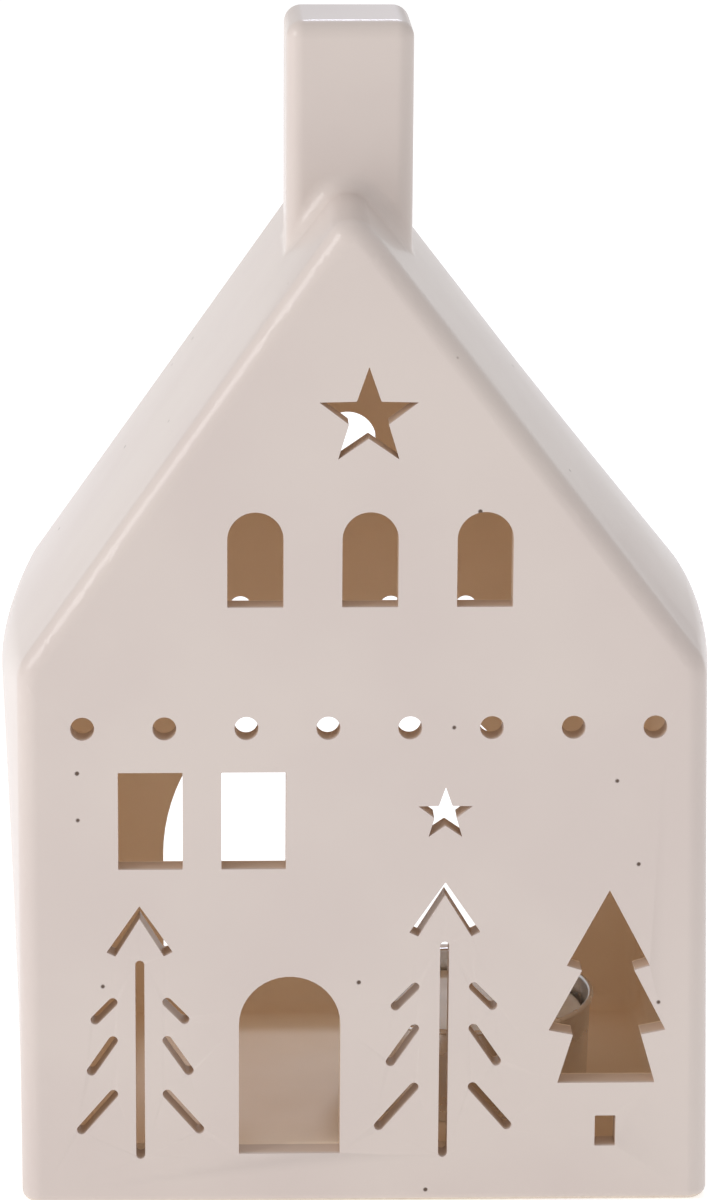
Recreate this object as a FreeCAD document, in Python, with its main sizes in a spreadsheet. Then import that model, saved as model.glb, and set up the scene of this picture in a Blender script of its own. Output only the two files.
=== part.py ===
import FreeCAD, Part
import math
import os
import Sketcher
from FreeCAD import Vector

# A ceramic tealight holder in the shape of a tall gabled house with a chimney.
# One hollow casting carries the walls, roof, chimney and floor. Light leaves through
# cut-outs in the front wall, and the candle goes in through a large arch in the back wall.
# On the floor stands a tealight: an aluminium cup with the wax, the wick and its sustainer.
# Millimetres. +Z is up, the front wall faces -Y, and the origin is the middle of the base.

dimensions = {
    # the outline of the front and back walls; the body is a little out of true
    "eave_width": 97.0,
    "eave_shift": 0.5,
    "eave_height": 80.6,
    "left_foot_outset": 0.5,
    "right_foot_outset": 2.2,
    "ridge_height": 146.9,
    "ridge_shift": -1.55,
    "depth": 68.0,
    # how far the eaves swell out halfway between the front wall and the back wall
    "left_swell": 3.76,
    "left_swell_drop": 2.8,
    "right_swell": 2.6,
    "right_swell_rise": 2.1,
    # the ceramic itself
    "wall": 4.0,
    "floor_thickness": 4.5,
    "foot_recess": 2.5,
    "foot_trim": 2.0,  # how much of the block is cut off below the base to leave it flat
    "edge_radius": 3.0,
    "eave_radius": 5.0,
    "swelled_eave_radius": 13.0,
    "ridge_radius": 3.5,
    "foot_radius": 1.5,
    "chamber_radius": 2.5,
    # the chimney, closed on top and hollow below
    "chimney_width": 18.2,
    "chimney_depth": 20.0,
    "chimney_shift": -0.95,
    "chimney_rise": 21.9,
    "chimney_radius": 2.5,
    "chimney_blend": 3.0,
    # front wall: the large star below the ridge, and the three arched windows above the eaves
    "large_star_radius": 7.3,
    "large_star_shift": 1.05,
    "large_star_drop": 30.1,
    "attic_window_width": 7.9,
    "attic_window_rise": 9.0,
    "attic_window_upright": 9.8,
    "attic_window_pitch": 16.15,
    "attic_window_shift": 1.4,
    # the row of round holes below the eaves, in the front wall and again in the back wall
    "dot_diameter": 3.4,
    "dot_pitch": 11.6,
    "dot_shift": 1.4,
    "dot_drop": 8.7,
    "back_dot_lift": 0.7,
    # front wall: the two square windows and the small star
    "window_width": 9.2,
    "window_sill": 51.0,
    "window_top": 65.4,
    "left_window_shift": -29.65,
    "right_window_shift": -14.95,
    "small_star_radius": 4.1,
    "small_star_shift": 12.35,
    "small_star_height": 59.0,
    # front wall: the arched door, a small step above the floor
    "door_width": 14.6,
    "door_step": 0.75,
    "door_upright": 19.75,
    "door_shift": -9.75,
    # front wall: a short and a tall line-drawn tree, each with a roof-shaped top
    "short_tree_shift": -31.25,
    "tall_tree_shift": 12.45,
    "tall_tree_scale": 1.09,
    "tree_foot": 7.7,
    "trunk_slot_width": 1.3,
    "trunk_slot_top": 36.7,
    "tree_top_height": 44.9,
    "tree_top_drop": 6.3,
    "tree_top_reach": 4.1,
    "branch_slot_width": 1.4,
    "branch_gap": 3.9,
    "upper_branch_height": 31.0,
    "upper_branch_drop": 2.6,
    "upper_branch_reach": 6.4,
    "middle_branch_height": 25.2,
    "middle_branch_drop": 4.6,
    "middle_branch_reach": 7.0,
    "lower_branch_height": 17.0,
    "lower_branch_drop": 5.4,
    "lower_branch_reach": 8.5,
    # front wall: the solid fir tree, half widths from its own axis, and its separate trunk
    "fir_shift": 36.0,
    "fir_top": 47.6,
    "fir_upper_corner": 36.2,
    "fir_upper_reach": 6.0,
    "fir_upper_notch": 3.75,
    "fir_lower_corner": 26.4,
    "fir_lower_reach": 8.45,
    "fir_lower_notch": 4.9,
    "fir_notch_drop": 0.7,
    "fir_bottom": 18.35,
    "fir_bottom_reach": 7.05,
    "fir_trunk_width": 3.0,
    "fir_trunk_sill": 8.65,
    "fir_trunk_top": 13.3,
    # back wall: the arch that the candle goes through, and the vent hole above it
    "arch_width": 58.4,
    "arch_step": 9.2,
    "arch_upright": 16.3,
    "arch_shift": 1.15,
    "vent_diameter": 8.8,
    "vent_shift": 0.35,
    "vent_rise": 18.4,
    # the tealight: its distance from the right and front walls, and its four pieces
    "tealight_side_gap": 10.5,
    "tealight_front_gap": 8.0,
    "cup_height": 15.0,
    "cup_rim_radius": 19.0,
    "cup_top_radius": 18.5,
    "cup_base_radius": 18.1,
    "cup_thickness": 0.4,
    "cup_rim_height": 1.0,
    "cup_base_bevel": 0.8,
    "wax_clearance": 0.3,
    "wax_height": 11.5,
    "wax_bevel": 0.8,
    "wick_radius": 0.8,
    "wick_stand": 5.0,
    "sustainer_radius": 6.25,
    "sustainer_thickness": 0.4,
    "sustainer_neck_radius": 1.4,
    "sustainer_neck_height": 3.2,
    # how far each cut runs past the wall it goes through
    "cut_overrun": 1.0,
}

dots_per_row = 8
star_inner_ratio = 0.40
star_points = 5


class Size:
    """A length that knows its value now and the sheet expression that gives it."""

    def __init__(self, value, text=None):
        self.value = value
        self.text = text if text is not None else repr(value)

    def joined(self, other, sign, value):
        other = other if isinstance(other, Size) else Size(other)
        return Size(value(self.value, other.value), "(%s %s %s)" % (self.text, sign, other.text))

    def __add__(self, other):
        return self.joined(other, "+", lambda a, b: a + b)

    def __sub__(self, other):
        return self.joined(other, "-", lambda a, b: a - b)

    def __mul__(self, other):
        return self.joined(other, "*", lambda a, b: a * b)

    def __truediv__(self, other):
        return self.joined(other, "/", lambda a, b: a / b)

    def __neg__(self):
        return self * -1.0

    __radd__ = __add__
    __rmul__ = __mul__


def size(name):
    return Size(dimensions[name], "Dims." + name)


def fill_sheet(doc):
    sheet = doc.addObject("Spreadsheet::Sheet", "Dims")
    for row, (name, value) in enumerate(dimensions.items(), start=1):
        sheet.set("A%d" % row, name)
        sheet.set("B%d" % row, str(value))
        sheet.setAlias("B%d" % row, name)
    doc.recompute()


def new_body(doc, label):
    body = doc.addObject("PartDesign::Body", label)
    body.Label = label
    return body


def new_sketch(body, name, role, offset=None):
    plane = [item for item in body.Origin.OriginFeatures if item.Role == role][0]
    sketch = body.newObject("Sketcher::SketchObject", name)
    sketch.AttachmentSupport = (plane, [""])
    sketch.MapMode = "FlatFace"
    if offset is not None:
        sketch.setExpression("AttachmentOffset.Base.z", offset.text)
    return sketch


def bind(sketch, kind, *args):
    """Add a constraint whose last argument is a Size, and tie it to the sheet."""
    index = sketch.addConstraint(Sketcher.Constraint(kind, *args[:-1], args[-1].value))
    sketch.setExpression("Constraints[%d]" % index, args[-1].text)


def pin(sketch, line, end, point):
    bind(sketch, "DistanceX", -1, 1, line, end, point[0])
    bind(sketch, "DistanceY", -1, 1, line, end, point[1])


def place(point):
    return Vector(point[0].value, point[1].value, 0)


def polygon(sketch, points):
    lines = []
    for start, end in zip(points, points[1:] + points[:1]):
        lines.append(sketch.addGeometry(Part.LineSegment(place(start), place(end))))
    for line, following, point in zip(lines, lines[1:] + lines[:1], points):
        sketch.addConstraint(Sketcher.Constraint("Coincident", line, 2, following, 1))
        pin(sketch, line, 1, point)
    return lines


def rectangle(sketch, left, right, bottom, top):
    polygon(sketch, [(left, bottom), (right, bottom), (right, top), (left, top)])


def circle(sketch, centre, diameter):
    ring = Part.Circle(place(centre), Vector(0, 0, 1), diameter.value / 2)
    index = sketch.addGeometry(ring)
    pin(sketch, index, 3, centre)
    bind(sketch, "Diameter", index, diameter)


def arch(sketch, middle, width, sill, upright):
    """An opening with upright sides and a half-round head."""
    left, right = middle - width / 2, middle + width / 2
    spring = sill + upright
    corners = [(left, spring), (left, sill), (right, sill), (right, spring)]
    lines = []
    for start, end in zip(corners, corners[1:]):
        lines.append(sketch.addGeometry(Part.LineSegment(place(start), place(end))))
    for line, point in zip(lines, corners):
        pin(sketch, line, 1, point)
    pin(sketch, lines[-1], 2, corners[-1])
    for line, following in zip(lines, lines[1:]):
        sketch.addConstraint(Sketcher.Constraint("Coincident", line, 2, following, 1))
    ring = Part.Circle(place((middle, spring)), Vector(0, 0, 1), width.value / 2)
    head = sketch.addGeometry(Part.ArcOfCircle(ring, 0, math.pi))
    sketch.addConstraint(Sketcher.Constraint("Coincident", head, 1, lines[-1], 2))
    sketch.addConstraint(Sketcher.Constraint("Coincident", head, 2, lines[0], 1))
    bind(sketch, "DistanceY", -1, 1, head, 3, spring)


def slot(sketch, start, end, width):
    """A straight slot with round ends, given by the middles of its ends."""
    first, last = place(start), place(end)
    turn = math.atan2(last.y - first.y, last.x - first.x)
    radius = width.value / 2
    side = Vector(-math.sin(turn), math.cos(turn), 0) * radius
    quarter = math.pi / 2
    upper = sketch.addGeometry(Part.LineSegment(last + side, first + side))
    lower = sketch.addGeometry(Part.LineSegment(first - side, last - side))
    ring = Part.Circle(first, Vector(0, 0, 1), radius)
    tail = sketch.addGeometry(Part.ArcOfCircle(ring, turn + quarter, turn + 3 * quarter))
    ring = Part.Circle(last, Vector(0, 0, 1), radius)
    head = sketch.addGeometry(Part.ArcOfCircle(ring, turn - quarter, turn + quarter))
    for line, line_end, arc, arc_end in (
        (upper, 2, tail, 1),
        (tail, 2, lower, 1),
        (lower, 2, head, 1),
        (head, 2, upper, 1),
    ):
        sketch.addConstraint(Sketcher.Constraint("Tangent", line, line_end, arc, arc_end))
    sketch.addConstraint(Sketcher.Constraint("Equal", tail, head))
    pin(sketch, tail, 3, start)
    pin(sketch, head, 3, end)
    bind(sketch, "Radius", tail, width / 2)


def star(sketch, middle, height, radius):
    points = []
    for corner in range(2 * star_points):
        reach = radius if corner % 2 == 0 else radius * star_inner_ratio
        angle = math.pi / 2 - corner * math.pi / star_points
        points.append((middle + reach * math.cos(angle), height + reach * math.sin(angle)))
    polygon(sketch, points)


def pad(body, name, sketch, length, both_ways=False):
    feature = body.newObject("PartDesign::Pad", name)
    feature.Profile = sketch
    feature.setExpression("Length", length.text)
    if both_ways:
        feature.SideType = "Symmetric"
    body.Document.recompute()
    return feature


def pocket(body, name, sketch, length, reverse=False, both_ways=False):
    """Cut a sketch into the body, and make sure that it took material away."""
    before = body.Shape.Volume
    feature = body.newObject("PartDesign::Pocket", name)
    feature.Profile = sketch
    feature.setExpression("Length", length.text)
    feature.Reversed = reverse
    if both_ways:
        feature.SideType = "Symmetric"
    body.Document.recompute()
    if body.Shape.Volume >= before:
        raise RuntimeError(name + " cuts nothing")
    return feature


def fillet(body, name, base, radius, wanted):
    """Round every edge of the base feature for which wanted(edge) is true."""
    edges = ["Edge%d" % (i + 1) for i, edge in enumerate(base.Shape.Edges) if wanted(edge)]
    feature = body.newObject("PartDesign::Fillet", name)
    feature.Base = (base, edges)
    feature.setExpression("Radius", radius.text)
    body.Document.recompute()
    return feature


def same(a, b):
    return abs(a - b) < 1e-4


def runs_along_depth(edge):
    box = edge.BoundBox
    return same(box.XLength, 0) and same(box.ZLength, 0)


def floor_top():
    return size("foot_recess") + size("floor_thickness")


def chimney_top():
    return size("ridge_height") + size("chimney_rise")


def house_corners(swell=0.0):
    """The casting's corners from the front: 0 at the front and back walls, 1 halfway."""
    half, shift = size("eave_width") / 2, size("eave_shift")
    left, right, height = shift - half, shift + half, size("eave_height")
    left_foot = (left - size("left_foot_outset"), -size("foot_trim"))
    right_foot = (right + size("right_foot_outset"), -size("foot_trim"))
    right_eave = (right + size("right_swell") * swell, height + size("right_swell_rise") * swell)
    left_eave = (left - size("left_swell") * swell, height - size("left_swell_drop") * swell)
    ridge = (size("ridge_shift"), size("ridge_height"))
    return [left_foot, right_foot, right_eave, ridge, left_eave]


def rounded_outline(sketch, corners, radii):
    """The polygon through the corners, with its third and later corners rounded."""
    guides = polygon(sketch, corners)
    for guide in guides:
        sketch.setConstruction(guide, True)
    points = [place(point) for point in corners]
    foot = sketch.addGeometry(Part.LineSegment(points[0], points[1]))
    pin(sketch, foot, 1, corners[0])
    pin(sketch, foot, 2, corners[1])
    start, previous = points[1], foot
    for number, radius in enumerate(radii, start=2):
        before = (points[number - 1] - points[number]).normalize()
        after = (points[(number + 1) % len(points)] - points[number]).normalize()
        half_angle = before.getAngle(after) / 2
        reach = radius.value / math.tan(half_angle)
        inward = (before + after).normalize()
        centre = points[number] + inward * (radius.value / math.sin(half_angle))
        first, last = points[number] + before * reach, points[number] + after * reach
        line = sketch.addGeometry(Part.LineSegment(start, first))
        arc = sketch.addGeometry(Part.Arc(first, centre - inward * radius.value, last))
        if previous == foot:
            sketch.addConstraint(Sketcher.Constraint("Coincident", foot, 2, line, 1))
            sketch.addConstraint(Sketcher.Constraint("Parallel", line, guides[1]))
        else:
            sketch.addConstraint(Sketcher.Constraint("Tangent", previous, 2, line, 1))
            sketch.addConstraint(Sketcher.Constraint("Tangent", line, guides[number - 1]))
        sketch.addConstraint(Sketcher.Constraint("Tangent", line, 2, arc, 1))
        bind(sketch, "Radius", arc, radius)
        start, previous = last, arc
    line = sketch.addGeometry(Part.LineSegment(start, points[0]))
    sketch.addConstraint(Sketcher.Constraint("Tangent", previous, 2, line, 1))
    sketch.addConstraint(Sketcher.Constraint("Coincident", line, 2, foot, 1))
    sketch.addConstraint(Sketcher.Constraint("Parallel", line, guides[-1]))


def add_block(body):
    """The solid house: its eaves swell out halfway, and its gables and foot are rounded."""
    stations = []
    half_depth = size("depth") / 2
    for name, offset, swell in (
        ("Back", -half_depth, 0.0),
        ("Middle", None, 1.0),
        ("Front", half_depth, 0.0),
    ):
        station = new_sketch(body, name + "Outline", "XZ_Plane", offset)
        eave = size("swelled_eave_radius") if swell else size("eave_radius")
        rounded_outline(station, house_corners(swell), [eave, size("ridge_radius"), eave])
        stations.append(station)
    block = body.newObject("PartDesign::AdditiveLoft", "HouseBlock")
    block.Profile = stations[0]
    block.Sections = stations[1:]
    body.Document.recompute()

    overrun = size("cut_overrun")
    left_foot, right_foot = house_corners()[:2]
    below = new_sketch(body, "FlatBasePlan", "XY_Plane")
    rear = half_depth + overrun
    rectangle(below, left_foot[0] - overrun, right_foot[0] + overrun, -rear, rear)
    flat = pocket(body, "FlatBase", below, size("foot_trim") + overrun)

    def at_gable(edge):
        box = edge.BoundBox
        return same(box.YLength, 0) and same(abs(box.YMin), half_depth.value) and box.ZMax > 0.1

    def at_foot(edge):
        return same(edge.BoundBox.ZMax, 0)

    gables = fillet(body, "GableRounds", flat, size("edge_radius"), at_gable)
    fillet(body, "FootRounds", gables, size("foot_radius"), at_foot)


def add_chimney(body):
    """A square stack through the ridge, rounded, and blended into the roof."""
    start = size("eave_height")
    middle = size("chimney_shift")
    half_width, half_depth = size("chimney_width") / 2, size("chimney_depth") / 2
    plan = new_sketch(body, "ChimneyPlan", "XY_Plane", start)
    rectangle(plan, middle - half_width, middle + half_width, -half_depth, half_depth)
    stack = pad(body, "ChimneyStack", plan, chimney_top() - start)
    left = middle.value - half_width.value
    right = middle.value + half_width.value
    top = chimney_top().value

    def on_stack_side(edge):
        box = edge.BoundBox
        on_x = same(box.XLength, 0) and (same(box.XMin, left) or same(box.XMin, right))
        on_y = same(box.YLength, 0) and same(abs(box.YMin), half_depth.value)
        inside = box.XMin > left - 1e-3 and box.XMax < right + 1e-3
        return inside and (on_x or on_y)

    def upright(edge):
        box = edge.BoundBox
        return on_stack_side(edge) and same(box.XLength, 0) and same(box.YLength, 0)

    rounded = fillet(body, "ChimneyCorners", stack, size("chimney_radius"), upright)

    def at_top(edge):
        return same(edge.BoundBox.ZMin, top)

    def at_roof(edge):
        box = edge.BoundBox
        inside = box.XMin > left - 0.01 and box.XMax < right + 0.01
        inside = inside and box.YMin > -half_depth.value - 0.01 and box.YMax < half_depth.value + 0.01
        leans = box.XLength > 0.01 or box.YLength > 0.01
        return inside and leans and box.ZMax < dimensions["ridge_height"] + 0.01

    topped = fillet(body, "ChimneyTop", rounded, size("chimney_radius"), at_top)
    fillet(body, "ChimneyBlend", topped, size("chimney_blend"), at_roof)


def chamber_outline(body, name, offset, swell):
    """The chamber's section at one station: the outline there, one wall further in."""
    outline = new_sketch(body, name + "WallOutline", "XZ_Plane")
    polygon(outline, house_corners(swell))
    body.Document.recompute()
    chamber = new_sketch(body, name + "ChamberOutline", "XZ_Plane", offset)
    wall = size("wall")
    corners = [place(point) for point in house_corners(swell)]
    middle = Vector(0, dimensions["eave_height"] / 2, 0)
    inner = [point + (middle - point).normalize() * wall.value * 1.5 for point in corners]
    lines = []
    for start, end in zip(inner, inner[1:] + inner[:1]):
        lines.append(chamber.addGeometry(Part.LineSegment(start, end)))
    for number, line in enumerate(lines):
        chamber.addExternal(outline.Name, "Edge%d" % (number + 1))
        outer = -3 - number
        following = lines[(number + 1) % len(lines)]
        chamber.addConstraint(Sketcher.Constraint("Coincident", line, 2, following, 1))
        chamber.addConstraint(Sketcher.Constraint("Parallel", line, outer))
        floor = floor_top() + size("foot_trim")
        bind(chamber, "Distance", line, 1, outer, floor if number == 0 else wall)
    return chamber


def hollow_out(body):
    """The chamber, one wall inside the outline, with the flue above and the foot below.
    A slip casting has no sharp inside corner, so the chamber's edges are rounded."""
    wall = size("wall")
    outer_half_depth = size("depth") / 2
    inner_half_depth = outer_half_depth - wall
    ratio = inner_half_depth / outer_half_depth
    end_swell = Size(1.0) - ratio * ratio
    chamber = body.newObject("PartDesign::SubtractiveLoft", "Chamber")
    chamber.Profile = chamber_outline(body, "Back", -inner_half_depth, end_swell)
    chamber.Sections = [
        chamber_outline(body, "Middle", None, Size(1.0)),
        chamber_outline(body, "Front", inner_half_depth, end_swell),
    ]
    body.Document.recompute()

    def in_chamber(edge):
        box = edge.BoundBox
        across = same(box.YLength, 0) and same(abs(box.YMin), inner_half_depth.value)
        return across or same(box.YLength, 2 * inner_half_depth.value)

    fillet(body, "ChamberRounds", chamber, size("chamber_radius"), in_chamber)

    start = size("eave_height")
    middle = size("chimney_shift")
    half_width = size("chimney_width") / 2 - wall
    half_depth = size("chimney_depth") / 2 - wall
    flue = new_sketch(body, "FluePlan", "XY_Plane", start)
    rectangle(flue, middle - half_width, middle + half_width, -half_depth, half_depth)
    pocket(body, "Flue", flue, chimney_top() - wall - start, reverse=True)

    left_foot, right_foot = house_corners()[:2]
    inset = wall + size("foot_radius")
    back = size("depth") / 2 - inset
    foot = new_sketch(body, "FootRecessPlan", "XY_Plane")
    rectangle(foot, left_foot[0] + inset, right_foot[0] - inset, -back, back)
    pocket(body, "FootRecess", foot, size("foot_recess"), reverse=True)


def cut_front(body, name, draw):
    """Cut what draw(sketch) draws through the front wall."""
    sketch = new_sketch(body, name + "Outline", "XZ_Plane", size("depth") / 2)
    draw(sketch)
    pocket(body, name, sketch, size("wall") + size("cut_overrun"))


def cut_back(body, name, draw):
    """Cut what draw(sketch) draws through the back wall, from the chamber outwards."""
    start = -(size("depth") / 2 - size("wall") - size("cut_overrun"))
    sketch = new_sketch(body, name + "Outline", "XZ_Plane", start)
    draw(sketch)
    pocket(body, name, sketch, size("wall") + size("cut_overrun") * 2)


def draw_stars(sketch):
    large_height = size("ridge_height") - size("large_star_drop")
    star(sketch, size("large_star_shift"), large_height, size("large_star_radius"))
    star(sketch, size("small_star_shift"), size("small_star_height"), size("small_star_radius"))


def draw_attic_windows(sketch):
    for place_in_row in (-1, 0, 1):
        middle = size("attic_window_shift") + size("attic_window_pitch") * place_in_row
        sill = size("eave_height") + size("attic_window_rise")
        arch(sketch, middle, size("attic_window_width"), sill, size("attic_window_upright"))


def draw_dot_row(sketch, lift):
    height = size("eave_height") - size("dot_drop") + lift
    for number in range(dots_per_row):
        step = number - (dots_per_row - 1) / 2
        circle(sketch, (size("dot_shift") + size("dot_pitch") * step, height), size("dot_diameter"))


def draw_windows(sketch):
    half = size("window_width") / 2
    for side in ("left", "right"):
        middle = size(side + "_window_shift")
        rectangle(sketch, middle - half, middle + half, size("window_sill"), size("window_top"))


def draw_door(sketch):
    sill = floor_top() + size("door_step")
    arch(sketch, size("door_shift"), size("door_width"), sill, size("door_upright"))


def draw_line_tree(sketch, middle, scale):
    """A trunk slot with three branch slots on each side, all scaled up from the foot."""
    foot = size("tree_foot")

    def at(reach, height):
        return (middle + reach * scale, foot + (height - foot) * scale)

    slot(sketch, at(Size(0.0), foot), at(Size(0.0), size("trunk_slot_top")), size("trunk_slot_width"))
    for side in (-1.0, 1.0):
        for level in ("upper", "middle", "lower"):
            height = size(level + "_branch_height")
            inner = at(size("branch_gap") * side, height)
            low = height - size(level + "_branch_drop")
            outer = at(size(level + "_branch_reach") * side, low)
            slot(sketch, inner, outer, size("branch_slot_width"))


def draw_tree_top(sketch, middle, scale):
    """The roof-shaped top of a line-drawn tree: one bent stroke with square ends."""
    foot = size("tree_foot")
    across = size("trunk_slot_width") / 2
    top = foot + (size("tree_top_height") - foot) * scale
    reach = size("tree_top_reach") * scale
    low = top - size("tree_top_drop") * scale
    right_outer, left_outer = middle + reach + across, middle - reach - across
    right_inner, left_inner = middle + reach - across, middle - reach + across
    points = [(middle, top + across), (left_outer, low), (left_inner, low - across)]
    points += [(middle, top - across * 2), (right_inner, low - across), (right_outer, low)]
    polygon(sketch, points)


def draw_fir(sketch):
    middle = size("fir_shift")
    drop = size("fir_notch_drop")
    right = [
        (size("fir_upper_reach"), size("fir_upper_corner")),
        (size("fir_upper_notch"), size("fir_upper_corner") - drop),
        (size("fir_lower_reach"), size("fir_lower_corner")),
        (size("fir_lower_notch"), size("fir_lower_corner") - drop),
        (size("fir_bottom_reach"), size("fir_bottom")),
    ]
    points = [(middle, size("fir_top"))]
    points += [(middle + reach, height) for reach, height in right]
    points += [(middle - reach, height) for reach, height in reversed(right)]
    polygon(sketch, points)
    half = size("fir_trunk_width") / 2
    rectangle(sketch, middle - half, middle + half, size("fir_trunk_sill"), size("fir_trunk_top"))


def draw_arch(sketch):
    sill = floor_top() + size("arch_step")
    arch(sketch, size("arch_shift"), size("arch_width"), sill, size("arch_upright"))


def draw_vent(sketch):
    height = size("eave_height") + size("vent_rise")
    circle(sketch, (size("vent_shift"), height), size("vent_diameter"))


def make_house_shell(doc):
    body = new_body(doc, "house_shell")
    add_block(body)
    add_chimney(body)
    hollow_out(body)
    cut_front(body, "Stars", draw_stars)
    cut_front(body, "AtticWindows", draw_attic_windows)
    cut_front(body, "FrontDots", lambda sketch: draw_dot_row(sketch, Size(0.0)))
    cut_front(body, "Windows", draw_windows)
    cut_front(body, "Door", draw_door)
    for kind, scale in (("short", Size(1.0)), ("tall", size("tall_tree_scale"))):
        middle = size(kind + "_tree_shift")
        name = kind.capitalize() + "Tree"
        cut_front(body, name, lambda sketch: draw_line_tree(sketch, middle, scale))
        cut_front(body, name + "Top", lambda sketch: draw_tree_top(sketch, middle, scale))
    cut_front(body, "Fir", draw_fir)
    cut_back(body, "BackArch", draw_arch)
    cut_back(body, "BackVent", draw_vent)
    cut_back(body, "BackDots", lambda sketch: draw_dot_row(sketch, size("back_dot_lift")))


def turned(doc, label, points, lift):
    """A turned piece of the tealight: a profile of (radius, height) spun about its axis."""
    body = new_body(doc, label)
    sketch = new_sketch(body, label + "_profile", "XZ_Plane")
    polygon(sketch, points)
    spin = body.newObject("PartDesign::Revolution", label + "_spin")
    spin.Profile = sketch
    spin.ReferenceAxis = (sketch, ["V_Axis"])
    spin.Angle = 360.0
    inner_right = house_corners()[1][0] - size("wall")
    inner_front = size("wall") - size("depth") / 2
    from_right = inner_right - size("tealight_side_gap") - size("cup_rim_radius")
    from_front = inner_front + size("tealight_front_gap") + size("cup_rim_radius")
    body.setExpression("Placement.Base.x", from_right.text)
    body.setExpression("Placement.Base.y", from_front.text)
    body.setExpression("Placement.Base.z", (floor_top() + lift).text)
    doc.recompute()


def make_tealight_cup(doc):
    skin = size("cup_thickness")
    bevel = size("cup_base_bevel")
    top, base = size("cup_top_radius"), size("cup_base_radius")
    tall = size("cup_height")
    under_rim = tall - size("cup_rim_height")
    zero = Size(0.0)
    points = [(zero, zero), (base - bevel, zero), (base, bevel), (top, under_rim)]
    points += [(size("cup_rim_radius"), under_rim), (size("cup_rim_radius"), tall)]
    points += [(top - skin, tall), (base - skin, bevel), (base - bevel - skin, skin), (zero, skin)]
    turned(doc, "tealight_cup", points, zero)


def make_candle(doc):
    """The wax with the wick through it, on a metal sustainer that sits in its underside."""
    zero = Size(0.0)
    lift = size("cup_thickness")
    wick = size("wick_radius")
    disc, disc_top = size("sustainer_radius"), size("sustainer_thickness")
    neck, neck_top = size("sustainer_neck_radius"), disc_top + size("sustainer_neck_height")
    wax_top, bevel = size("wax_height"), size("wax_bevel")
    wax = size("cup_base_radius") - size("cup_thickness") - size("wax_clearance")

    points = [(disc, zero), (wax - bevel, zero), (wax, bevel), (wax, wax_top - bevel)]
    points += [(wax - bevel, wax_top), (wick, wax_top), (wick, neck_top), (neck, neck_top)]
    points += [(neck, disc_top), (disc, disc_top)]
    turned(doc, "candle_wax", points, lift)

    points = [(wick, zero), (disc, zero), (disc, disc_top), (neck, disc_top)]
    points += [(neck, neck_top), (wick, neck_top)]
    turned(doc, "wick_sustainer", points, lift)

    wick_top = wax_top + size("wick_stand")
    points = [(zero, zero), (wick, zero), (wick, wick_top), (zero, wick_top)]
    turned(doc, "wick", points, lift)


def check(doc):
    for item in doc.Objects:
        if "Invalid" in item.State or "Error" in item.State:
            raise RuntimeError("%s failed: %s" % (item.Label, item.State))
    for body in doc.findObjects("PartDesign::Body"):
        if body.Shape.isNull() or not body.Shape.isValid():
            raise RuntimeError(body.Label + " has no valid shape")
        if len(body.Shape.Solids) != 1:
            raise RuntimeError("%s is %d solids" % (body.Label, len(body.Shape.Solids)))


def main():
    doc = FreeCAD.newDocument("TealightHolder")
    fill_sheet(doc)
    make_house_shell(doc)
    make_tealight_cup(doc)
    make_candle(doc)
    doc.recompute()
    check(doc)
    os.makedirs("parts", exist_ok=True)
    for body in doc.findObjects("PartDesign::Body"):
        body.Shape.exportStep("parts/%s.step" % body.Label)
        box = body.Shape.BoundBox
        print("%-16s %9.0f mm3  x %.2f..%.2f  y %.2f..%.2f  z %.2f..%.2f" % (
            body.Label, body.Shape.Volume, box.XMin, box.XMax, box.YMin, box.YMax, box.ZMin, box.ZMax))


main()
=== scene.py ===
import math
import bpy
from mathutils import Matrix, Vector


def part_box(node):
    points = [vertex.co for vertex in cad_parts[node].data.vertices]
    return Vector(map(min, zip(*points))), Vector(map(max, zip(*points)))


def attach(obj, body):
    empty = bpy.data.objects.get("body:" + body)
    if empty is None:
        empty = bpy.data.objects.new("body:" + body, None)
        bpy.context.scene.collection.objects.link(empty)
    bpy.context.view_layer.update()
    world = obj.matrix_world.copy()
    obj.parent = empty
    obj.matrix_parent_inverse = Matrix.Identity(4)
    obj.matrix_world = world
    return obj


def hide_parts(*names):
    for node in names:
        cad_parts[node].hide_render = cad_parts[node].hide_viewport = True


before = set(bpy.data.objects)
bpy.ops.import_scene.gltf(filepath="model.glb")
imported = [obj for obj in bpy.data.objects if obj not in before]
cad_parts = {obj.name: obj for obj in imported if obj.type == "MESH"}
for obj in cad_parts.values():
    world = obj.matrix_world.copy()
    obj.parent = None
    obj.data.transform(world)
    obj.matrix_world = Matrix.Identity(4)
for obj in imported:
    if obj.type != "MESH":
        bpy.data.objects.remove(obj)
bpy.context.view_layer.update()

mm = 0.001
print("frame loaded:", sorted(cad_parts))


def deselectAll():
    if bpy.context.mode != "OBJECT":
        bpy.ops.object.mode_set(mode="OBJECT")
    bpy.ops.object.select_all(action="DESELECT")


def makeActive(piece):
    deselectAll()
    piece.select_set(True)
    bpy.context.view_layer.objects.active = piece


def startEditing(piece, mode="VERT"):
    makeActive(piece)
    bpy.ops.object.mode_set(mode="EDIT")
    bpy.ops.mesh.select_mode(type=mode)
    bpy.ops.mesh.select_all(action="DESELECT")


def stopEditing():
    bpy.ops.object.mode_set(mode="OBJECT")


def pick(piece, kind, test):
    # selects the vertices, edges or faces for which test(item) is true, in edit mode
    bpy.ops.mesh.select_all(action="DESELECT")
    bpy.ops.object.mode_set(mode="OBJECT")
    found = 0
    for item in getattr(piece.data, kind):
        item.select = bool(test(item))
        found += item.select
    bpy.ops.object.mode_set(mode="EDIT")
    return found


def useModifier(piece, kind, **settings):
    makeActive(piece)
    added = piece.modifiers.new(kind.title(), kind)
    for name, value in settings.items():
        setattr(added, name, value)
    bpy.ops.object.modifier_apply(modifier=added.name)


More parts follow.
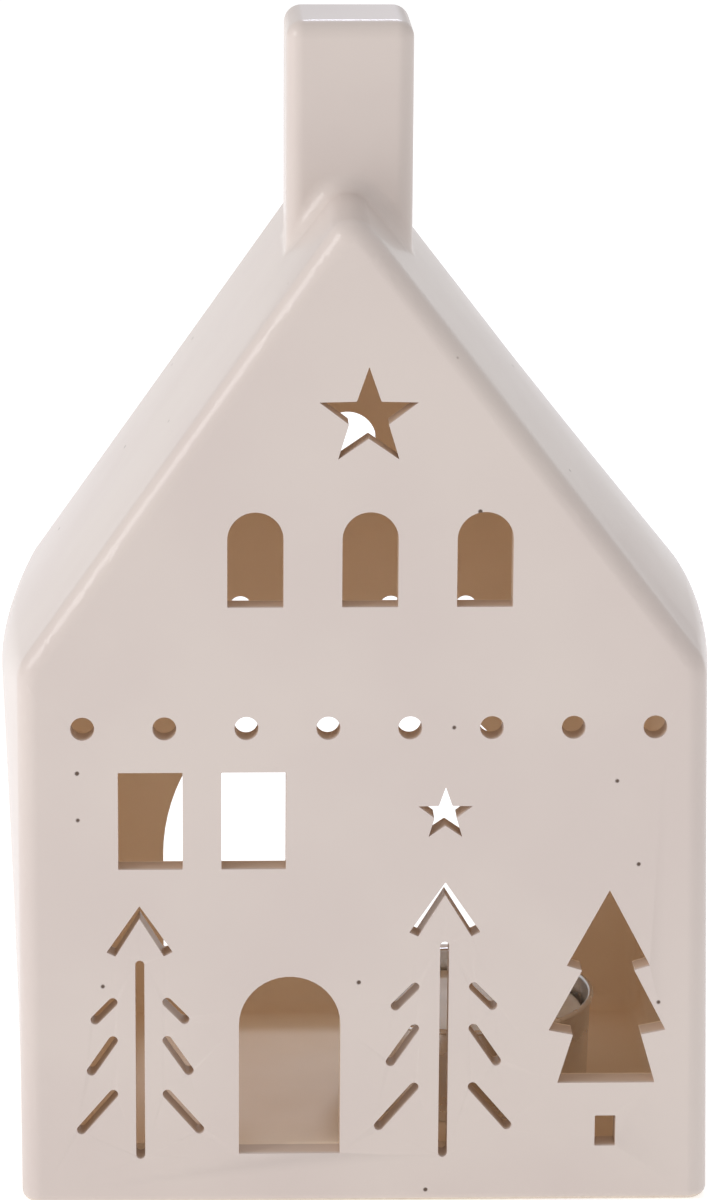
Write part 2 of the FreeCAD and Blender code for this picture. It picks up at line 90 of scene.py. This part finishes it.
def settle(piece, name):
    # gives the piece its name and moves its place, turn and scale into its mesh
    piece.name = name
    piece.data.name = name
    makeActive(piece)
    bpy.ops.object.transform_apply(location=True, rotation=True, scale=True)


def smooth(piece, degrees):
    makeActive(piece)
    bpy.ops.object.shade_smooth_by_angle(angle=math.radians(degrees))


class Wire:
    # a node's output that can be added, multiplied and compared like a number

    def __init__(self, tree, socket):
        self.tree = tree
        self.socket = socket

    def node(self, kind, settings, inputs, output=0):
        made = self.tree.nodes.new(kind)
        for name, value in settings.items():
            setattr(made, name, value)
        for key, value in inputs.items():
            if isinstance(value, Wire):
                self.tree.links.new(value.socket, made.inputs[key])
            else:
                made.inputs[key].default_value = value
        return Wire(self.tree, made.outputs[output])

    def maths(self, operation, first, second=0.0):
        return self.node("ShaderNodeMath", {"operation": operation}, {0: first, 1: second})

    def __add__(self, other):
        return self.maths("ADD", self, other)

    def __sub__(self, other):
        return self.maths("SUBTRACT", self, other)

    def __rsub__(self, other):
        return self.maths("SUBTRACT", other, self)

    def __mul__(self, other):
        return self.maths("MULTIPLY", self, other)

    def __lt__(self, other):
        return self.maths("LESS_THAN", self, other)

    def __gt__(self, other):
        return self.maths("GREATER_THAN", self, other)

    __radd__ = __add__
    __rmul__ = __mul__

    def noise(self, scale, detail=2.0, roughness=0.5):
        inputs = {"Vector": self, "Scale": scale, "Detail": detail, "Roughness": roughness}
        return self.node("ShaderNodeTexNoise", {}, inputs)

    def between(self, low, high):
        # 0 below low, 1 above high, and a soft step from one to the other
        settings = {"interpolation_type": "SMOOTHSTEP"}
        return self.node("ShaderNodeMapRange", settings, {0: self, 1: low, 2: high, 3: 0.0, 4: 1.0})

    def mixColours(self, first, second):
        inputs = {"Factor": self, 6: first, 7: second}
        return self.node("ShaderNodeMix", {"data_type": "RGBA"}, inputs, output=2)

    def bump(self, distance, strength=1.0, normal=None):
        inputs = {"Height": self, "Distance": distance, "Strength": strength}
        if normal is not None:
            inputs["Normal"] = normal
        return self.node("ShaderNodeBump", {}, inputs)


def newMaterial(name, uniform):
    # uniform holds what is the same all over the surface, by socket name
    material = bpy.data.materials.new(name)
    material.use_nodes = True
    tree = material.node_tree
    shader = tree.nodes["Principled BSDF"]
    for socket, value in uniform.items():
        shader.inputs[socket].default_value = value
    coordinates = tree.nodes.new("ShaderNodeTexCoord")
    place = Wire(tree, coordinates.outputs["Object"])
    return material, shader, place


def feed(shader, socket, wire):
    wire.tree.links.new(wire.socket, shader.inputs[socket])


def dress(piece, *materials):
    piece.data.materials.clear()
    for material in materials:
        piece.data.materials.append(material)


glazeLook = {
    "white": (0.622, 0.538, 0.503, 1.0),
    "cream": (0.645, 0.564, 0.523, 1.0),
    "speck": (0.10, 0.06, 0.04, 1.0),
    "patchScale": 28.0,
    "speckScale": 300.0,
    "speckSize": 0.055,  # radius of a speck, as a share of its cell
    "speckEdge": 2.2,  # a speck has faded out at this many times its radius
    "speckShare": 0.05,  # share of the cells that hold a speck
    "speckDepth": 0.15 * mm,
    "waveScale": 45.0,
    "waveHeight": 0.12 * mm,
    "peelScale": 420.0,
    "peelHeight": 0.006 * mm,
    "glossScale": 90.0,
    "glossSpread": 0.10,
    "roughness": 0.36,
}


def makeGlaze():
    look = glazeLook
    uniform = {"IOR": 1.5, "Specular IOR Level": 0.32, "Coat Weight": 0.24, "Coat Roughness": 0.09}
    material, shader, place = newMaterial("glossyGlaze", uniform)
    patches = place.noise(look["patchScale"], detail=3.0).between(0.35, 0.65)
    cellInputs = {"Vector": place, "Scale": look["speckScale"]}
    cells = place.node("ShaderNodeTexVoronoi", {}, cellInputs, output=0)
    chosen = place.node("ShaderNodeTexVoronoi", {}, cellInputs, output=1)
    share = chosen.node("ShaderNodeSeparateColor", {}, {"Color": chosen}) < look["speckShare"]
    specks = (1.0 - cells.between(look["speckSize"], look["speckSize"] * look["speckEdge"])) * share
    body = patches.mixColours(look["white"], look["cream"])
    feed(shader, "Base Color", specks.mixColours(body, look["speck"]))
    gloss = place.noise(look["glossScale"]) * look["glossSpread"]
    feed(shader, "Roughness", gloss + look["roughness"])
    waves = place.noise(look["waveScale"], detail=1.0).bump(look["waveHeight"])
    peel = place.noise(look["peelScale"], detail=1.0).bump(look["peelHeight"], normal=waves)
    pits = (1.0 - specks).bump(look["speckDepth"], normal=peel)
    feed(shader, "Normal", pits)
    return material


insideLook = {
    "pale": (0.90, 0.75, 0.58, 1.0),
    "tan": (0.86, 0.70, 0.52, 1.0),
    "paintedShadeUmber": (0.56, 0.43, 0.34, 1.0),  # on the sides of the cut-outs: darker clay colour with painted shade of these recesses in it
    "paintedGlow": (1.0, 0.62, 0.38, 1.0),  # painted glow: the inside gives off a faint warm light of its own, standing in for daylight that soaks through the thin clay
    "paintedGlowStrength": 0.028,
    "chamberEnd": 30.1 * mm,  # from the middle to the walls' inner faces
    "paintedShadeFull": 30.4 * mm,
    "glazeStart": 32.9 * mm,  # how far from the middle the outside's glaze has run into a cut-out
    "glazeFull": 33.8 * mm,
    "cloudScale": 35.0,
    "glossScale": 120.0,
    "glossSpread": 0.15,
    "roughness": 0.45,
    "grainScale": 900.0,
    "grainHeight": 0.02 * mm,
    "waveScale": 60.0,
    "waveHeight": 0.2 * mm,
}


def makeInsideGlaze():
    # thin glaze inside the chamber, where the warm clay shows through, with a faint painted glow and
    # painted shade on the cut-outs' sides
    look = insideLook
    uniform = {"IOR": 1.5, "Coat Weight": 0.15, "Coat Roughness": 0.3}
    # painted glow: emission makes the inside glaze light up although it is no lamp
    uniform["Emission Color"] = look["paintedGlow"]
    uniform["Emission Strength"] = look["paintedGlowStrength"]
    material, shader, place = newMaterial("thinInsideGlaze", uniform)
    clouds = place.noise(look["cloudScale"], detail=4.0).between(0.3, 0.7)
    depth = place.node("ShaderNodeSeparateXYZ", {}, {"Vector": place}, output=1)
    fromMiddle = place.maths("ABSOLUTE", depth)
    glazed = fromMiddle.between(look["glazeStart"], look["glazeFull"])
    # painted shade: the cut-outs' sides, within the wall's thickness, turn to the darker umber
    shadedCutSides = fromMiddle.between(look["chamberEnd"], look["paintedShadeFull"])
    clay = shadedCutSides.mixColours(clouds.mixColours(look["pale"], look["tan"]), look["paintedShadeUmber"])
    feed(shader, "Base Color", glazed.mixColours(clay, glazeLook["white"]))
    gloss = place.noise(look["glossScale"]) * look["glossSpread"]
    feed(shader, "Roughness", gloss + look["roughness"])
    grain = place.noise(look["grainScale"], detail=3.0).bump(look["grainHeight"])
    feed(shader, "Normal", place.noise(look["waveScale"]).bump(look["waveHeight"], normal=grain))
    return material


clayLook = {
    "light": (0.74, 0.66, 0.58, 1.0),
    "dark": (0.60, 0.51, 0.43, 1.0),
    "grainScale": 1500.0,
    "grainHeight": 0.05 * mm,
    "roughSpread": 0.1,
    "roughness": 0.82,
}


def makeBareClay():
    # the dry, unglazed ring that the house stands on
    look = clayLook
    material, shader, place = newMaterial("bareClay", {"IOR": 1.4})
    grains = place.noise(look["grainScale"], detail=4.0)
    feed(shader, "Base Color", grains.mixColours(look["light"], look["dark"]))
    feed(shader, "Roughness", grains * look["roughSpread"] + look["roughness"])
    feed(shader, "Normal", grains.bump(look["grainHeight"]))
    return material


houseSizes = {
    "wall": 4.0 * mm,
    "rimRound": 0.45 * mm,
    "cornerRound": 0.55 * mm,  # where two sides of a cut-out meet
    "roundSteps": 3,
    "sharpAngle": 40,  # degrees, from which an edge counts as sharp
    "doubles": 0.002 * mm,  # corners closer than this are one corner
    "flatAngle": 0.2,  # degrees, below which two faces are one flat face
    "shortestSide": 1.5 * mm,  # a cut-out's corner edge is longer than this
    # the front wall's corners as x, z, and how far each swells out halfway back
    "outline": [
        (-48.5, 0.0, 0.0, 0.0),
        (51.2, 0.0, 0.0, 0.0),
        (49.0, 80.6, 2.6, 2.1),
        (-1.55, 146.9, 0.0, 0.0),
        (-48.0, 80.6, -3.76, -2.8),
    ],
    "outerSkin": 1.9 * mm,  # faces closer than this to the outline belong to the outside
    "flue": (-0.95 * mm, 5.3 * mm, 6.3 * mm),  # middle, and how far it reaches in x and y
    "chimneyCap": 3 * mm,  # glazed clay above the flue
    "frontSkin": 0.6 * mm,  # how deep the front and back faces' rounded rims reach
    "bareTop": 3 * mm,  # faces that look down below this height are bare clay
    "facingDown": -0.5,
}


def makeHouse():
    sizes = houseSizes
    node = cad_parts["house_shell"]
    low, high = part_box("house_shell")
    house = bpy.data.objects.new("glazedHouse", node.data.copy())
    bpy.context.scene.collection.objects.link(house)
    startEditing(house)
    bpy.ops.mesh.select_all(action="SELECT")
    bpy.ops.mesh.remove_doubles(threshold=sizes["doubles"])
    bpy.ops.mesh.dissolve_limited(angle_limit=math.radians(sizes["flatAngle"]))
    print("house merged:", len(house.data.vertices))

    planes = [low.y, low.y + sizes["wall"], high.y - sizes["wall"], high.y]

    def sharpEdges(test):
        # selects the sharp edges for which test(first corner, last corner, normals) is true
        stopEditing()
        around = {}
        for face in house.data.polygons:
            for key in face.edge_keys:
                around.setdefault(key, []).append(face.normal.copy())
        sharp = math.radians(sizes["sharpAngle"])
        found = set()
        for key, normals in around.items():
            if len(normals) == 2 and normals[0].angle(normals[1]) > sharp:
                if test(*(house.data.vertices[number].co for number in key), normals):
                    found.add(key)
        startEditing(house, "EDGE")
        return pick(house, "edges", lambda edge: edge.key in found)

    def crossesWall(first, last, normals):
        side = first - last
        return side.length > sizes["shortestSide"] and abs(side.normalized().y) > 0.999

    def onWallPlane(first, last, normals):
        level = any(abs(first.y - y) < 1e-5 and abs(last.y - y) < 1e-5 for y in planes)
        return level and any(abs(normal.y) > 0.999 for normal in normals)

    corners = sharpEdges(crossesWall)
    bpy.ops.mesh.bevel(offset=sizes["cornerRound"], segments=sizes["roundSteps"], clamp_overlap=True)
    rims = sharpEdges(onWallPlane)
    bpy.ops.mesh.bevel(offset=sizes["rimRound"], segments=sizes["roundSteps"], clamp_overlap=True)
    print("house corners and rims rounded:", corners, rims)
    bpy.ops.mesh.select_all(action="SELECT")
    bpy.ops.mesh.quads_convert_to_tris(quad_method="BEAUTY", ngon_method="BEAUTY")
    stopEditing()
    smooth(house, 40)
    useModifier(house, "WEIGHTED_NORMAL", keep_sharp=True, weight=60)

    dress(house, makeGlaze(), makeInsideGlaze(), makeBareClay())
    middleX, reachX, reachY = sizes["flue"]

    def depthInside(point):
        # how far the point lies inside the walls' and roof's outline
        swell = 1 - (point.y / high.y) ** 2
        outline = [
            Vector((x + outX * swell, z + outZ * swell)) * mm for x, z, outX, outZ in sizes["outline"]
        ]
        spot = Vector((point.x, point.z))
        depths = []
        for start, end in zip(outline, outline[1:] + outline[:1]):
            along = (end - start).normalized()
            depths.append(along.cross(spot - start))
        return min(depths)

    for face in house.data.polygons:
        middle, normal = face.center, face.normal
        fromWall = min(abs(middle.y - low.y), abs(middle.y - high.y))
        onWall = abs(normal.y) > 0.7 and fromWall < sizes["frontSkin"]
        belowCap = middle.z < high.z - sizes["chimneyCap"]
        inFlue = abs(middle.x - middleX) < reachX and abs(middle.y) < reachY and belowCap
        if middle.z < sizes["bareTop"] and normal.z < sizes["facingDown"]:
            face.material_index = 2
        elif inFlue or (depthInside(middle) > sizes["outerSkin"] and not onWall):
            face.material_index = 1
    settle(house, "glazedHouse")
    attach(house, "house")
    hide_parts("house_shell")
    print("house made:", len(house.data.polygons), "faces")


makeHouse()


def turnRings(name, node, profile, steps):
    # joins rings of (radius, height) round the middle of the CAD node's box, in millimetres
    low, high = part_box(node)
    x, y = (low.x + high.x) / 2, (low.y + high.y) / 2
    radius, height = profile[0]
    place = (x, y, low.z + height * mm)
    deselectAll()
    bpy.ops.mesh.primitive_circle_add(
        vertices=steps, radius=radius * mm, fill_type="NOTHING", location=place)
    piece = bpy.context.active_object
    startEditing(piece)
    bpy.ops.mesh.select_all(action="SELECT")
    for (radius, height), (nextRadius, nextHeight) in zip(profile, profile[1:]):
        rise = (nextHeight - height) * mm
        bpy.ops.mesh.extrude_region_move(TRANSFORM_OT_translate={"value": (0, 0, rise)})
        grow = nextRadius / radius
        around = (x, y, low.z + nextHeight * mm)
        bpy.ops.transform.resize(value=(grow, grow, 1.0), center_override=around)
    if profile[0] != profile[-1]:
        bpy.ops.mesh.merge(type="CENTER")
        pick(piece, "vertices", lambda vertex: vertex.index < steps)
        bpy.ops.mesh.merge(type="CENTER")
    bpy.ops.mesh.select_all(action="SELECT")
    bpy.ops.mesh.remove_doubles(threshold=0.001 * mm)
    bpy.ops.mesh.normals_make_consistent(inside=False)
    stopEditing()
    settle(piece, name)
    return piece


cupSizes = {
    "bright": (0.80, 0.80, 0.81, 1.0),
    "dull": (0.72, 0.72, 0.735, 1.0),
    "smudgeScale": 160.0,
    "roughSpread": 0.12,
    "roughness": 0.24,
    "drawnScale": 260.0,  # fine lines round the cup, left by the press
    "drawnStretch": (1.0, 1.0, 14.0),
    "drawnHeight": 0.012 * mm,
    "dentScale": 110.0,
    "dentHeight": 0.10 * mm,
    "steps": 120,
    "profile": [
        # underside, with a pressed ring that stiffens it
        (0.5, 0.35), (7.0, 0.35), (7.6, 0.05), (14.5, 0.05), (15.1, 0.30), (16.2, 0.30), (16.8, 0.02),
        # outside, from the rounded foot up to the rolled rim
        (17.3, 0.0), (17.75, 0.22), (18.0, 0.65), (18.12, 1.2), (18.2, 4.0), (18.3, 7.5), (18.4, 11.0),
        (18.46, 13.6), (18.5, 14.05), (18.72, 14.10), (18.93, 14.27), (19.0, 14.52), (18.94, 14.78),
        (18.76, 14.95), (18.52, 15.0), (18.30, 14.92), (18.18, 14.74),
        # inside, down the wall and back across the floor
        (18.12, 14.3), (18.08, 13.6), (18.0, 11.0), (17.92, 7.5), (17.84, 4.0), (17.76, 1.3), (17.6, 0.75),
        (17.2, 0.40), (16.8, 0.34), (15.4, 0.34), (14.8, 0.33), (8.0, 0.33), (7.0, 0.37), (0.5, 0.37),
    ],
}


def makeCupMetal():
    look = cupSizes
    material, shader, place = newMaterial("pressedAluminium", {"Metallic": 1.0})
    smudges = place.noise(look["smudgeScale"], detail=3.0).between(0.35, 0.7)
    feed(shader, "Base Color", smudges.mixColours(look["bright"], look["dull"]))
    feed(shader, "Roughness", smudges * look["roughSpread"] + look["roughness"])
    stretched = place.node("ShaderNodeMapping", {}, {"Vector": place, "Scale": look["drawnStretch"]})
    drawn = stretched.noise(look["drawnScale"], detail=3.0).bump(look["drawnHeight"])
    feed(shader, "Normal", place.noise(look["dentScale"]).bump(look["dentHeight"], normal=drawn))
    return material


def makeCup():
    cup = turnRings("aluminiumCup", "tealight_cup", cupSizes["profile"], cupSizes["steps"])
    smooth(cup, 50)
    dress(cup, makeCupMetal())
    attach(cup, "tealight")
    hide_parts("tealight_cup")
    print("cup made:", len(cup.data.polygons), "faces")


waxSizes = {
    "white": (0.88, 0.86, 0.81, 1.0),
    "cloudy": (0.83, 0.80, 0.74, 1.0),
    "depthColour": (1.0, 0.85, 0.65),
    "cloudScale": 140.0,
    "roughSpread": 0.15,
    "roughness": 0.38,
    "pitScale": 900.0,
    "pitHeight": 0.03 * mm,
    "dimpleScale": 180.0,
    "dimpleHeight": 0.12 * mm,
    "steps": 96,
    "profile": [
        (6.25, 0.0), (16.6, 0.0), (17.1, 0.2), (17.4, 0.8), (17.4, 10.6), (17.36, 11.1), (17.22, 11.42),
        (16.95, 11.5), (16.6, 11.4), (16.1, 11.22), (15.0, 11.10), (11.0, 11.02), (6.0, 10.95),
        (3.2, 10.98), (2.2, 11.10), (1.5, 11.30), (1.05, 11.47), (0.82, 11.5), (0.82, 3.6),
        (1.4, 3.6), (1.4, 0.4), (6.25, 0.4), (6.25, 0.0),
    ],
}


def makeWaxLook():
    look = waxSizes
    uniform = {"Subsurface Weight": 0.35, "Subsurface Scale": 2.5 * mm, "IOR": 1.43, "Coat Weight": 0.12}
    uniform["Subsurface Radius"] = look["depthColour"]
    material, shader, place = newMaterial("whiteWax", uniform)
    clouds = place.noise(look["cloudScale"], detail=4.0).between(0.3, 0.75)
    feed(shader, "Base Color", clouds.mixColours(look["white"], look["cloudy"]))
    feed(shader, "Roughness", clouds * look["roughSpread"] + look["roughness"])
    pits = place.noise(look["pitScale"], detail=3.0).between(0.62, 0.8).bump(look["pitHeight"])
    feed(shader, "Normal", place.noise(look["dimpleScale"]).bump(look["dimpleHeight"], normal=pits))
    return material


def makeWax():
    wax = turnRings("waxPellet", "candle_wax", waxSizes["profile"], waxSizes["steps"])
    smooth(wax, 40)
    dress(wax, makeWaxLook())
    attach(wax, "candle")
    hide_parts("candle_wax")
    print("wax made:", len(wax.data.polygons), "faces")


wickSizes = {
    "pale": (0.90, 0.87, 0.80, 1.0),
    "shaded": (0.72, 0.68, 0.58, 1.0),
    "fibreScale": 5200.0,
    "fibreStretch": (1.0, 1.0, 0.25),
    "fibreHeight": 0.04 * mm,
    "roughSpread": 0.2,
    "roughness": 0.6,
    "strands": 3,
    "strandRadius": 0.40 * mm,
    "strandCorners": 12,
    "strandReach": 0.385 * mm,  # from the wick's middle to a strand's middle
    "turn": 24.0,  # degrees from one step to the next
    "steps": 55,
}


def makeWickLook():
    look = wickSizes
    material, shader, place = newMaterial("waxedCotton", {"Sheen Weight": 0.25})
    stretched = place.node("ShaderNodeMapping", {}, {"Vector": place, "Scale": look["fibreStretch"]})
    fibres = stretched.noise(look["fibreScale"])
    feed(shader, "Base Color", fibres.mixColours(look["pale"], look["shaded"]))
    feed(shader, "Roughness", fibres * look["roughSpread"] + look["roughness"])
    feed(shader, "Normal", fibres.bump(look["fibreHeight"]))
    return material


def makeWick():
    sizes = wickSizes
    low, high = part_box("wick")
    x, y = (low.x + high.x) / 2, (low.y + high.y) / 2
    rise = (high.z - low.z) / sizes["steps"]
    strands = []
    for number in range(sizes["strands"]):
        angle = 2 * math.pi * number / sizes["strands"]
        reach = sizes["strandReach"]
        place = (x + reach * math.cos(angle), y + reach * math.sin(angle), low.z)
        deselectAll()
        bpy.ops.mesh.primitive_circle_add(
            vertices=sizes["strandCorners"], radius=sizes["strandRadius"], fill_type="NGON", location=place)
        strand = bpy.context.active_object
        startEditing(strand)
        bpy.ops.mesh.select_all(action="SELECT")
        for _ in range(sizes["steps"]):
            bpy.ops.mesh.extrude_region_move(TRANSFORM_OT_translate={"value": (0, 0, rise)})
            bpy.ops.transform.rotate(
                value=math.radians(sizes["turn"]), orient_axis="Z", center_override=(x, y, low.z))
        bpy.ops.mesh.select_all(action="SELECT")
        bpy.ops.mesh.normals_make_consistent(inside=False)
        stopEditing()
        strands.append(strand)
    deselectAll()
    for strand in strands:
        strand.select_set(True)
    bpy.context.view_layer.objects.active = strands[0]
    bpy.ops.object.join()
    wick = bpy.context.active_object
    settle(wick, "twistedWick")
    smooth(wick, 50)
    dress(wick, makeWickLook())
    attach(wick, "candle")
    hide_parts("wick")
    print("wick made:", len(wick.data.polygons), "faces")


footSizes = {
    "bright": (0.68, 0.68, 0.68, 1.0),
    "dull": (0.56, 0.56, 0.57, 1.0),
    "spotScale": 700.0,
    "spotHeight": 0.02 * mm,
    "roughSpread": 0.15,
    "roughness": 0.28,
    "steps": 96,
    "ribs": 6,
    "ribStart": 2.8 * mm,
    "ribEnd": 4.6 * mm,
    "ribHalfWidth": 0.09,  # of the sector that each rib has
    "ribRise": 0.04 * mm,
    "profile": [
        (0.82, 0.02), (1.5, 0.02), (2.2, 0.05), (2.8, 0.14), (4.6, 0.14), (5.2, 0.05), (6.0, 0.0),
        (6.2, 0.06), (6.25, 0.15), (6.18, 0.24), (5.9, 0.26), (5.2, 0.26), (4.6, 0.36), (2.8, 0.36),
        (2.2, 0.38), (1.7, 0.48), (1.42, 0.75), (1.36, 1.2), (1.34, 2.7), (1.4, 2.95), (1.38, 3.12),
        (1.2, 3.2), (0.95, 3.16), (0.86, 3.0), (0.82, 2.7), (0.82, 0.02),
    ],
}


def makeFootMetal():
    look = footSizes
    material, shader, place = newMaterial("tinnedSteel", {"Metallic": 1.0})
    spots = place.noise(look["spotScale"], detail=3.0).between(0.35, 0.7)
    feed(shader, "Base Color", spots.mixColours(look["bright"], look["dull"]))
    feed(shader, "Roughness", spots * look["roughSpread"] + look["roughness"])
    feed(shader, "Normal", spots.bump(look["spotHeight"]))
    return material


def makeWickFoot():
    sizes = footSizes
    foot = turnRings("wickFoot", "wick_sustainer", sizes["profile"], sizes["steps"])
    low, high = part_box("wick_sustainer")
    centre = Vector(((low.x + high.x) / 2, (low.y + high.y) / 2, 0.0))

    def onRib(face):
        # the raised ring's top, in a narrow sector at each rib
        out = face.center - centre
        reach = math.hypot(out.x, out.y)
        sector = math.atan2(out.y, out.x) / (2 * math.pi) * sizes["ribs"]
        near = abs(sector - round(sector)) < sizes["ribHalfWidth"]
        return near and sizes["ribStart"] < reach < sizes["ribEnd"] and face.normal.z > 0.9

    startEditing(foot, "FACE")
    ribs = pick(foot, "polygons", onRib)
    bpy.ops.mesh.extrude_region_move(TRANSFORM_OT_translate={"value": (0, 0, sizes["ribRise"])})
    stopEditing()
    smooth(foot, 45)
    dress(foot, makeFootMetal())
    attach(foot, "candle")
    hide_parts("wick_sustainer")
    print("wick foot made:", len(foot.data.polygons), "faces,", ribs, "on ribs")


makeCup()
makeWax()
makeWick()
makeWickFoot()


studio = {
    "floorSize": 12.0,
    "floorColour": (0.93, 0.93, 0.93, 1.0),
    "floorTint": (0.945, 0.945, 0.945, 1.0),
    "floorGlow": 0.42,
    "worldColour": (1.0, 1.0, 1.0, 1.0),
    "worldStrength": 0.65,
}

lamps = {
    # name: (place, what it points at, width, power, colour)
    "keyLamp": ((-1.0, -0.42, 0.55), (0.0, 0.0, 0.08), 0.5, 4.7, (1.0, 0.985, 0.975)),
    "backLamp": ((0.09, 0.65, 0.60), (0.0, 0.0, 0.02), 0.16, 1.3, (0.78, 0.84, 1.0)),
}

view = {
    "place": (-25.49 * mm, -685.0 * mm, 263.74 * mm),
    "yaw": 0.0320,
    "pitch": -0.2580,
    "roll": 0.0050,
    "lens": 143.94,
    "sensorHeight": 36.0,
    "shift": (0.0235, -0.0068),
    "clip": (0.05, 50.0),
}


def makeFloor():
    deselectAll()
    bpy.ops.mesh.primitive_plane_add(size=studio["floorSize"], location=(0, 0, 0))
    floor = bpy.context.active_object
    settle(floor, "paleFloor")
    uniform = {"Specular IOR Level": 0.2, "Roughness": 0.9, "Emission Strength": studio["floorGlow"]}
    material, shader, place = newMaterial("palePaper", uniform)
    shader.inputs["Emission Color"].default_value = studio["worldColour"]
    shade = place.noise(3.0).mixColours(studio["floorColour"], studio["floorTint"])
    feed(shader, "Base Color", shade)
    dress(floor, material)


def makeLamps():
    for name, (place, target, width, power, colour) in lamps.items():
        data = bpy.data.lights.new(name, "AREA")
        data.shape = "SQUARE"
        data.size = width
        data.energy = power
        data.color = colour
        lamp = bpy.data.objects.new(name, data)
        lamp.location = place
        towards = Vector(target) - Vector(place)
        lamp.rotation_euler = towards.to_track_quat("-Z", "Y").to_euler()
        bpy.context.scene.collection.objects.link(lamp)
    world = bpy.data.worlds.new("softStudio")
    world.use_nodes = True
    background = world.node_tree.nodes["Background"]
    background.inputs["Color"].default_value = studio["worldColour"]
    background.inputs["Strength"].default_value = studio["worldStrength"]
    bpy.context.scene.world = world


def makeCamera():
    data = bpy.data.cameras.new("tableView")
    data.sensor_fit = "VERTICAL"
    data.sensor_height = view["sensorHeight"]
    data.lens = view["lens"]
    data.shift_x, data.shift_y = view["shift"]
    data.clip_start, data.clip_end = view["clip"]
    camera = bpy.data.objects.new("tableView", data)
    yaw, pitch, roll = view["yaw"], view["pitch"], view["roll"]
    ahead = Vector((math.sin(yaw) * math.cos(pitch), math.cos(yaw) * math.cos(pitch), math.sin(pitch)))
    level = Vector((math.cos(yaw), -math.sin(yaw), 0.0))
    up = level.cross(ahead)
    right = level * math.cos(roll) + up * math.sin(roll)
    top = up * math.cos(roll) - level * math.sin(roll)
    turn = Matrix((right, top, -ahead)).transposed().to_4x4()
    camera.matrix_world = Matrix.Translation(view["place"]) @ turn
    bpy.context.scene.collection.objects.link(camera)
    bpy.context.scene.camera = camera


makeFloor()
makeLamps()
makeCamera()
bpy.context.scene.view_settings.view_transform = "Standard"
print("studio set")
